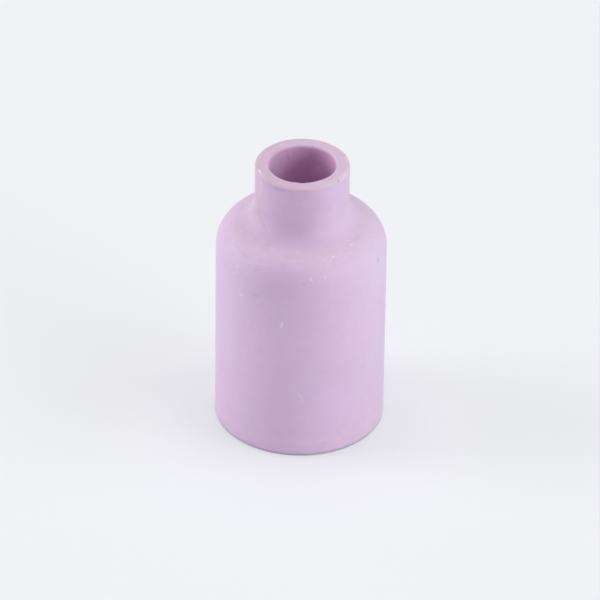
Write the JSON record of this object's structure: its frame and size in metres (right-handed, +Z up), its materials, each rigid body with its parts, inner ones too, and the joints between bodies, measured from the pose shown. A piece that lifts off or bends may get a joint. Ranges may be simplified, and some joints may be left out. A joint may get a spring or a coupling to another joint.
{
  "type": "tig torch gas lens nozzle",
  "caption": "Bottle-shaped pink alumina gas nozzle for a TIG torch, with a wide threaded base, a rounded shoulder and a narrow neck that shrouds the electrode in shielding gas.",
  "frame": {"origin": "centre of the base's lower face, on the bore's axis", "axes": "+Z up the bore, from the threaded base to the mouth; the part is round, so +X and +Y are free"},
  "size_m": [0.0242, 0.0242, 0.042],
  "materials": {
    "alumina": "matte"
  },
  "bodies": {
    "root": {"gas_lens_nozzle": "alumina"}
  },
  "joints": []
}
